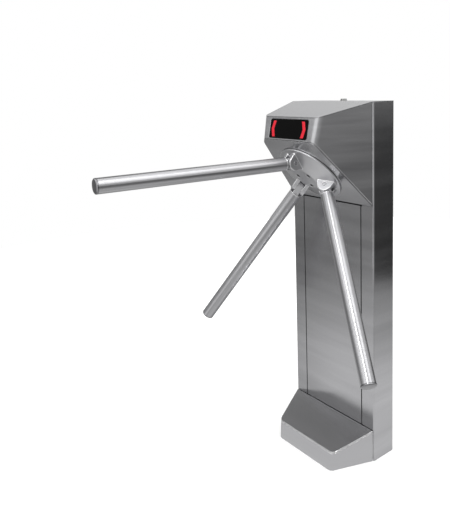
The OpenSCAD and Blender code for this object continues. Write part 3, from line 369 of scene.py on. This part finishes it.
# Circuit boards
# Glass fibre board under green solder mask. Copper runs show through it as paler lines on a
# 2.5 mm raster, and the tin of the vias as bright dots. Turned nylon posts carry the boards.
mask, tree, out = material("solder_mask")
spot = node(tree, "TexCoord")
upright = node(tree, "Mapping", [(spot.outputs["Object"], 0)], vector_type="TEXTURE",
               Rotation=(math.radians(90), 0, 0))
# Copper runs are 0.3 mm wide on the real board; they are drawn 0.6 mm wide so that they show.
runs = node(tree, "TexBrick", [(upright.outputs[0], 0)], offset=0.37, Scale=1.0, Brick_Width=0.017,
            Row_Height=0.0025, Mortar_Size=0.0003, Mortar_Smooth=0.2)
# There is a via about every 8 mm, with 2 mm of tin round it: 0.12 of a cell to each side.
vias = node(tree, "TexVoronoi", [(spot.outputs["Object"], 0)], Scale=120)
dot = node(tree, "Math", [(vias.outputs["Distance"], 0)], operation="LESS_THAN")
dot.inputs[1].default_value = 0.12
green = node(tree, "MixRGB", [(runs.outputs["Fac"], "Fac")], Color1=linear("#0F4A22"), Color2=linear("#1F6E34"))
tinned = node(tree, "MixRGB", [(dot.outputs[0], "Fac"), (green.outputs[0], "Color1")], Color2=linear("#B9BBB4"))
board = node(tree, "BsdfPrincipled", [(tinned.outputs[0], "Base Color")], Roughness=0.3)
tree.links.new(board.outputs[0], out.inputs["Surface"])
for name in ("display_board", "control_board"):
    wear(nodes[name], mask)

nylon, tree, out = material("turned_nylon")
spot = node(tree, "TexCoord")
# Lathe rings are 0.1 mm apart on the real posts; level lines 1.1 mm apart stand for them, to show.
turned = node(tree, "Mapping", [(spot.outputs["Object"], 0)], Scale=(40, 40, 900))
rings = node(tree, "TexNoise", [(turned.outputs[0], 0)], Scale=1.0)
cream = node(tree, "ValToRGB", [(rings.outputs[0], "Fac")], stops=[(0.3, "#D2CEC2"), (0.7, "#DDD9CC")])
post = node(tree, "BsdfPrincipled", [(cream.outputs["Color"], "Base Color")], Roughness=0.45,
            Subsurface_Weight=0.1)
tree.links.new(post.outputs[0], out.inputs["Surface"])
for name in ("board_spacers", "board_posts"):
    wear(nodes[name], nylon)

# Components of the control board
# Relays, plug strips, two capacitors and the controller, and the encoder's fork sensor, all in
# moulded black plastic with the fine spark texture of its mould, which breaks its shine.
moulded, tree, out = material("moulded_black_plastic")
spot = node(tree, "TexCoord")
# Spark marks are 0.1 mm wide on the real cases; they are drawn 1.1 mm wide so that they show.
spark = node(tree, "TexNoise", [(spot.outputs["Object"], 0)], Scale=900)
black = node(tree, "ValToRGB", [(spark.outputs[0], "Fac")], stops=[(0.3, "#1B1C1E"), (0.7, "#212325")])
relief = node(tree, "Bump", [(spark.outputs[0], "Height")], Strength=0.15, Distance=0.0002)
case = node(tree, "BsdfPrincipled", [(black.outputs["Color"], "Base Color"), (relief.outputs[0], "Normal")],
            Roughness=0.48)
tree.links.new(case.outputs[0], out.inputs["Surface"])
for name in ("board_parts", "encoder_sensor"):
    wear(nodes[name], moulded)

# Power supply, rail and terminals
# A folded case of galvanised sheet, a rolled rail with the same zinc coat, flecked with its
# small flowers, and terminals moulded in grey polyamide, finely grained.
galvanised, tree, out = material("galvanised_sheet")
spot = node(tree, "TexCoord")
# Zinc flowers are about 6 mm wide on thin sheet.
flowers = node(tree, "TexVoronoi", [(spot.outputs["Object"], 0)], Scale=160)
patch = node(tree, "SeparateColor", [(flowers.outputs["Color"], 0)])
flake = node(tree, "ValToRGB", [(patch.outputs[0], "Fac")], stops=[(0.0, "#AAADAF"), (1.0, "#BFC2C4")])
dull = node(tree, "MapRange", [(patch.outputs[1], "Value")], To_Min=0.26, To_Max=0.4)
steel = node(tree, "BsdfPrincipled", [(flake.outputs["Color"], "Base Color"), (dull.outputs[0], "Roughness")],
             Metallic=1.0)
tree.links.new(steel.outputs[0], out.inputs["Surface"])
for name in ("power_supply", "terminal_rail"):
    wear(nodes[name], galvanised)

polyamide, tree, out = material("grey_polyamide")
spot = node(tree, "TexCoord")
# The mould's grain is 0.1 mm wide; it is drawn 1.2 mm wide so that it shows.
grit = node(tree, "TexNoise", [(spot.outputs["Object"], 0)], Scale=800)
grey = node(tree, "ValToRGB", [(grit.outputs[0], "Fac")], stops=[(0.3, "#86898A"), (0.7, "#8F9293")])
relief = node(tree, "Bump", [(grit.outputs[0], "Height")], Strength=0.12, Distance=0.0002)
case = node(tree, "BsdfPrincipled", [(grey.outputs["Color"], "Base Color"), (relief.outputs[0], "Normal")],
            Roughness=0.5)
tree.links.new(case.outputs[0], out.inputs["Surface"])
wear(nodes["terminals"], polyamide)

# Lid lock and small screws
# A die-cast barrel and plug with a nickel coat, polished by hands and keys, and its nut, cam
# and keeper in yellowish, cloudy passivated zinc, as the mechanism's screws are.
nickel, tree, out = material("nickel_plate")
spot = node(tree, "TexCoord")
# Scuffs from keys and fingers are about 3 mm wide.
scuffs = node(tree, "TexNoise", [(spot.outputs["Object"], 0)], Scale=300)
bright = node(tree, "ValToRGB", [(scuffs.outputs[0], "Fac")], stops=[(0.3, "#969696"), (0.7, "#A6A6A4")])
dull = node(tree, "MapRange", [(scuffs.outputs[0], "Value")], From_Min=0.3, From_Max=0.7, To_Min=0.14,
            To_Max=0.26)
steel = node(tree, "BsdfPrincipled", [(bright.outputs["Color"], "Base Color"), (dull.outputs[0], "Roughness")],
             Metallic=1.0)
tree.links.new(steel.outputs[0], out.inputs["Surface"])
for name in ("lock_barrel", "lock_plug"):
    wear(nodes[name], nickel)

passivated, tree, out = material("passivated_zinc")
spot = node(tree, "TexCoord")
# The coat's clouds are about 7 mm wide.
cloud = node(tree, "TexNoise", [(spot.outputs["Object"], 0)], Scale=140, Detail=4.0)
straw = node(tree, "ValToRGB", [(cloud.outputs[0], "Fac")], stops=[(0.3, "#ABA58B"), (0.7, "#C0BA9D")])
dull = node(tree, "MapRange", [(cloud.outputs[0], "Value")], From_Min=0.3, From_Max=0.7, To_Min=0.28,
            To_Max=0.42)
steel = node(tree, "BsdfPrincipled", [(straw.outputs["Color"], "Base Color"), (dull.outputs[0], "Roughness")],
             Metallic=1.0)
tree.links.new(steel.outputs[0], out.inputs["Surface"])
for name in ("lock_nut", "lock_cam", "lock_keeper", "plate_bolts", "housing_screws", "motor_screws"):
    wear(nodes[name], passivated)

# Mechanism plates, pillars, shaft and bearing housing
# Laser-cut 8 mm steel plates, phosphated to a dark cloudy grey, on four bright turned pillars.
# The shaft and its housing are turned too, and fine rings run round them.
phosphated, tree, out = material("phosphated_plate")
spot = node(tree, "TexCoord")
# The phosphate's clouds are about 22 mm wide.
cloud = node(tree, "TexNoise", [(spot.outputs["Object"], 0)], Scale=45, Detail=4.0)
dark = node(tree, "ValToRGB", [(cloud.outputs[0], "Fac")], stops=[(0.3, "#606264"), (0.7, "#75787A")])
dull = node(tree, "MapRange", [(cloud.outputs[0], "Value")], From_Min=0.3, From_Max=0.7, To_Min=0.42,
            To_Max=0.6)
steel = node(tree, "BsdfPrincipled", [(dark.outputs["Color"], "Base Color"), (dull.outputs[0], "Roughness")],
             Metallic=1.0)
tree.links.new(steel.outputs[0], out.inputs["Surface"])
for name in ("mechanism_plate", "rear_plate"):
    wear(nodes[name], phosphated)

joints = {joint["name"]: joint for joint in frame["record"]["behaviour"]["joints"]}
hub_axis = Vector(joints["hub_spin"]["axis"])
turned, tree, out = material("turned_steel")
spot = node(tree, "TexCoord")
# The Mapping turns Z along the hub's axis, which the shaft and the pillars share.
along_hub = node(tree, "Mapping", [(spot.outputs["Object"], 0)], vector_type="TEXTURE",
                 Location=joints["hub_spin"]["pos_m"], Rotation=hub_axis.to_track_quat("Z", "Y").to_euler())
# Lathe marks are 0.1 mm apart on the real pieces; they are drawn 2 mm apart so that they show.
marks = node(tree, "TexWave", [(along_hub.outputs[0], 0)], bands_direction="Z", Scale=160, Distortion=0.6)
relief = node(tree, "Bump", [(marks.outputs["Fac"], "Height")], Strength=0.1, Distance=0.0002)
# Stains of cutting oil are about 17 mm wide.
stain = node(tree, "TexNoise", [(spot.outputs["Object"], 0)], Scale=60)
bright = node(tree, "ValToRGB", [(stain.outputs[0], "Fac")], stops=[(0.3, "#B0B1B3"), (0.7, "#BEBFC1")])
dull = node(tree, "MapRange", [(stain.outputs[0], "Value")], From_Min=0.3, From_Max=0.7, To_Min=0.24,
            To_Max=0.3)
steel = node(tree, "BsdfPrincipled", [(bright.outputs["Color"], "Base Color"), (dull.outputs[0], "Roughness"),
                                      (relief.outputs[0], "Normal")], Metallic=1.0)
tree.links.new(steel.outputs[0], out.inputs["Surface"])
for name in ("pillars", "main_shaft", "bearing_housing", "drive_key"):
    wear(nodes[name], turned)

# Shaft bearings
# Rings and balls of through-hardened chromium steel, ground and honed to a mirror that only
# fine honing marks dull a little.
ground, tree, out = material("ground_bearing_steel")
spot = node(tree, "TexCoord")
# Honing marks are 0.05 mm wide on the real rings; they are drawn 2 mm wide so that they show.
hone = node(tree, "TexNoise", [(spot.outputs["Object"], 0)], Scale=500)
bright = node(tree, "ValToRGB", [(hone.outputs[0], "Fac")], stops=[(0.3, "#C5C6C8"), (0.7, "#CCCDCF")])
dull = node(tree, "MapRange", [(hone.outputs[0], "Value")], From_Min=0.3, From_Max=0.7, To_Min=0.08,
            To_Max=0.14)
steel = node(tree, "BsdfPrincipled", [(bright.outputs["Color"], "Base Color"), (dull.outputs[0], "Roughness")],
             Metallic=1.0)
tree.links.new(steel.outputs[0], out.inputs["Surface"])
for name in ("bearing_outer_rings", "bearing_inner_rings", "bearing_balls"):
    wear(nodes[name], ground)

# Drive gear, pinion and circlips
# Hobbed from alloy steel and oiled: the oil darkens the steel and lies in it in smears, some
# of them glossy and some dull.
oiled, tree, out = material("oiled_gear_steel")
spot = node(tree, "TexCoord")
# Smears of oil are about 8 mm wide.
smear = node(tree, "TexNoise", [(spot.outputs["Object"], 0)], Scale=120, Detail=4.0)
brown = node(tree, "ValToRGB", [(smear.outputs[0], "Fac")], stops=[(0.3, "#7E7D79"), (0.7, "#92908C")])
dull = node(tree, "MapRange", [(smear.outputs[0], "Value")], From_Min=0.3, From_Max=0.7, To_Min=0.16,
            To_Max=0.4)
steel = node(tree, "BsdfPrincipled", [(brown.outputs["Color"], "Base Color"), (dull.outputs[0], "Roughness")],
             Metallic=1.0, Coat_Weight=0.3)
tree.links.new(steel.outputs[0], out.inputs["Surface"])
for name in ("drive_gear", "pinion", "circlips"):
    wear(nodes[name], oiled)

# Encoder disc
# Punched aluminium sheet, anodised a matt black so that the slots stand out to the sensor;
# the etch before the coat leaves it finely grained.
anodised, tree, out = material("black_anodised_aluminium")
spot = node(tree, "TexCoord")
# The etch is 0.02 mm fine on the real disc; it is drawn 1.1 mm wide so that it shows.
grit = node(tree, "TexNoise", [(spot.outputs["Object"], 0)], Scale=900)
black = node(tree, "ValToRGB", [(grit.outputs[0], "Fac")], stops=[(0.3, "#232426"), (0.7, "#292A2D")])
disc = node(tree, "BsdfPrincipled", [(black.outputs["Color"], "Base Color")], Metallic=0.7, Roughness=0.42)
tree.links.new(disc.outputs[0], out.inputs["Surface"])
wear(nodes["encoder_disc"], anodised)

# Gearmotor and brake
# Die-cast and drawn housings under a dark stoving enamel with a fine orange peel, which
# wrinkles its highlights.
enamel, tree, out = material("dark_stoving_enamel")
spot = node(tree, "TexCoord")
# The peel's waves are 2.4 mm long.
peel = node(tree, "TexNoise", [(spot.outputs["Object"], 0)], Scale=420)
dark = node(tree, "ValToRGB", [(peel.outputs[0], "Fac")], stops=[(0.3, "#2A2B2E"), (0.7, "#2F3134")])
relief = node(tree, "Bump", [(peel.outputs[0], "Height")], Strength=0.2, Distance=0.0003)
coat = node(tree, "BsdfPrincipled", [(dark.outputs["Color"], "Base Color"), (relief.outputs[0], "Normal")],
            Roughness=0.36, Coat_Weight=0.2)
tree.links.new(coat.outputs[0], out.inputs["Surface"])
for name in ("gearmotor", "motor_brake"):
    wear(nodes[name], enamel)

# Hub and arm knuckles
# Investment-cast stainless, blasted with fine glass beads to an even satin without a grain,
# its edges broken by the tumbling after and painted white as a highlight.
cast, tree, out = material("bead_blasted_cast_steel")
spot = node(tree, "TexCoord")
# Bead marks are 0.1 mm across; they are drawn 0.8 mm wide so that they show.
beads = node(tree, "TexNoise", [(spot.outputs["Object"], 0)], Scale=1200)
# The casting's skin varies over patches of about 30 mm.
patch = node(tree, "TexNoise", [(spot.outputs["Object"], 0)], Scale=35)
corner = node(tree, "Bevel", samples=6, Radius=0.003)
relief = node(tree, "Bump", [(beads.outputs[0], "Height"), (corner.outputs[0], "Normal")], Strength=0.05,
              Distance=0.0002)
skin = node(tree, "ValToRGB", [(patch.outputs[0], "Fac")], stops=[(0.3, "#C5C5C7"), (0.7, "#CECED0")])
# Edges painted white: a painted highlight.
edge_painted = node(tree, "MixRGB", [(painted_edge_mask(tree, corner), "Fac"), (skin.outputs["Color"], "Color1")],
             Color2=linear("#FFFFFF"))
dull = node(tree, "MapRange", [(patch.outputs[0], "Value")], From_Min=0.3, From_Max=0.7, To_Min=0.32,
            To_Max=0.4)
steel = node(tree, "BsdfPrincipled", [(edge_painted.outputs[0], "Base Color"), (dull.outputs[0], "Roughness"),
                                      (relief.outputs[0], "Normal")], Metallic=1.0)
tree.links.new(steel.outputs[0], out.inputs["Surface"])
for name in ("hub", "arm_knuckle_1", "arm_knuckle_2", "arm_knuckle_3"):
    wear(nodes[name], cast)

# Hub bolts and pivot pins
# Cold-formed stainless socket screws, sunk in the hub, their heads painted darker as the shade of
# their sockets and slightly oxidised, and stainless pins, ground bright, pressed through the cheek plates.
bolt, tree, out = material("cold_formed_stainless")
spot = node(tree, "TexCoord")
# The oxide lies in patches of about 2.5 mm.
oxide = node(tree, "TexNoise", [(spot.outputs["Object"], 0)], Scale=400)
# The heads' dark grey is painted shade of the sockets; the oxide patches vary it.
dark = node(tree, "ValToRGB", [(oxide.outputs[0], "Fac")], stops=[(0.3, "#848486"), (0.7, "#949496")])
dull = node(tree, "MapRange", [(oxide.outputs[0], "Value")], From_Min=0.3, From_Max=0.7, To_Min=0.26,
            To_Max=0.4)
steel = node(tree, "BsdfPrincipled", [(dark.outputs["Color"], "Base Color"), (dull.outputs[0], "Roughness")],
             Metallic=1.0)
tree.links.new(steel.outputs[0], out.inputs["Surface"])
wear(nodes["hub_bolts"], bolt)

pin_steel, tree, out = material("ground_stainless_pin")
spot = node(tree, "TexCoord")
# Grinding marks are 0.05 mm wide; they are drawn 2 mm wide so that they show.
marks = node(tree, "TexNoise", [(spot.outputs["Object"], 0)], Scale=500)
bright = node(tree, "ValToRGB", [(marks.outputs[0], "Fac")], stops=[(0.3, "#C0C0C2"), (0.7, "#C7C7C9")])
dull = node(tree, "MapRange", [(marks.outputs[0], "Value")], From_Min=0.3, From_Max=0.7, To_Min=0.22,
            To_Max=0.28)
steel = node(tree, "BsdfPrincipled", [(bright.outputs["Color"], "Base Color"), (dull.outputs[0], "Roughness")],
             Metallic=1.0)
tree.links.new(steel.outputs[0], out.inputs["Surface"])
wear(nodes["pivot_pins"], pin_steel)

# Arm tubes and caps
# Drawn 38 mm stainless tube, polished on a belt while it turns: the marks run round it and draw
# each highlight out into a line. Its cap is faced on a lathe, whose rings leave it greyer.
hub_tilt = math.acos(-hub_axis.y)
for k in (1, 2, 3):
    pin_axis = Vector(joints[f"arm_{k}_fold"]["axis"])
    arm_axis = hub_axis * math.cos(hub_tilt) + hub_axis.cross(pin_axis) * math.sin(hub_tilt)
    along_arm = arm_axis.to_track_quat("Z", "Y").to_euler()

    polish, tree, out = material(f"ground_tube_{k}")
    spot = node(tree, "TexCoord")
    turned = node(tree, "Mapping", [(spot.outputs["Object"], 0)], vector_type="TEXTURE", Rotation=along_arm)
    # Drawing lines are 0.1 mm wide; they are drawn 4 mm wide so that they show.
    lengthways = node(tree, "Mapping", [(turned.outputs[0], 0)], Scale=(240, 240, 3))
    lines = node(tree, "TexNoise", [(lengthways.outputs[0], 0)], Scale=1.0, Detail=1.0)
    bright = node(tree, "ValToRGB", [(lines.outputs[0], "Fac")], stops=[(0.3, "#ACACAE"), (0.7, "#BEBEC0")])
    # Belt marks are 0.1 mm wide; they are drawn 3 mm wide so that they show.
    crossways = node(tree, "Mapping", [(turned.outputs[0], 0)], Scale=(8, 8, 330))
    marks = node(tree, "TexNoise", [(crossways.outputs[0], 0)], Scale=1.0)
    dull = node(tree, "MapRange", [(marks.outputs[0], "Value")], From_Min=0.3, From_Max=0.7, To_Min=0.3,
                To_Max=0.36)
    length = node(tree, "VectorTransform", vector_type="VECTOR", convert_from="OBJECT", convert_to="WORLD",
                  Vector=arm_axis)
    steel = node(tree, "BsdfPrincipled", [(bright.outputs["Color"], "Base Color"),
                                          (dull.outputs[0], "Roughness"), (length.outputs[0], "Tangent")],
                 Metallic=1.0, Anisotropic=0.92)
    tree.links.new(steel.outputs[0], out.inputs["Surface"])
    wear(nodes[f"arm_tube_{k}"], polish)

    faced, tree, out = material(f"faced_cap_{k}")
    spot = node(tree, "TexCoord")
    centred = node(tree, "Mapping", [(spot.outputs["Object"], 0)], vector_type="TEXTURE",
                   Location=joints[f"arm_{k}_fold"]["pos_m"], Rotation=along_arm)
    # Facing marks are 0.1 mm apart; they are drawn 4 mm apart so that they show.
    marks = node(tree, "TexWave", [(centred.outputs[0], 0)], wave_type="RINGS", rings_direction="Z", Scale=80,
                 Distortion=1.0)
    relief = node(tree, "Bump", [(marks.outputs["Fac"], "Height")], Strength=0.15, Distance=0.0003)
    dark = node(tree, "ValToRGB", [(marks.outputs["Fac"], "Fac")], stops=[(0.3, "#878789"), (0.7, "#949496")])
    steel = node(tree, "BsdfPrincipled", [(dark.outputs["Color"], "Base Color"), (relief.outputs[0], "Normal")],
                 Metallic=1.0, Roughness=0.3)
    tree.links.new(steel.outputs[0], out.inputs["Surface"])
    wear(nodes[f"arm_cap_{k}"], faced)
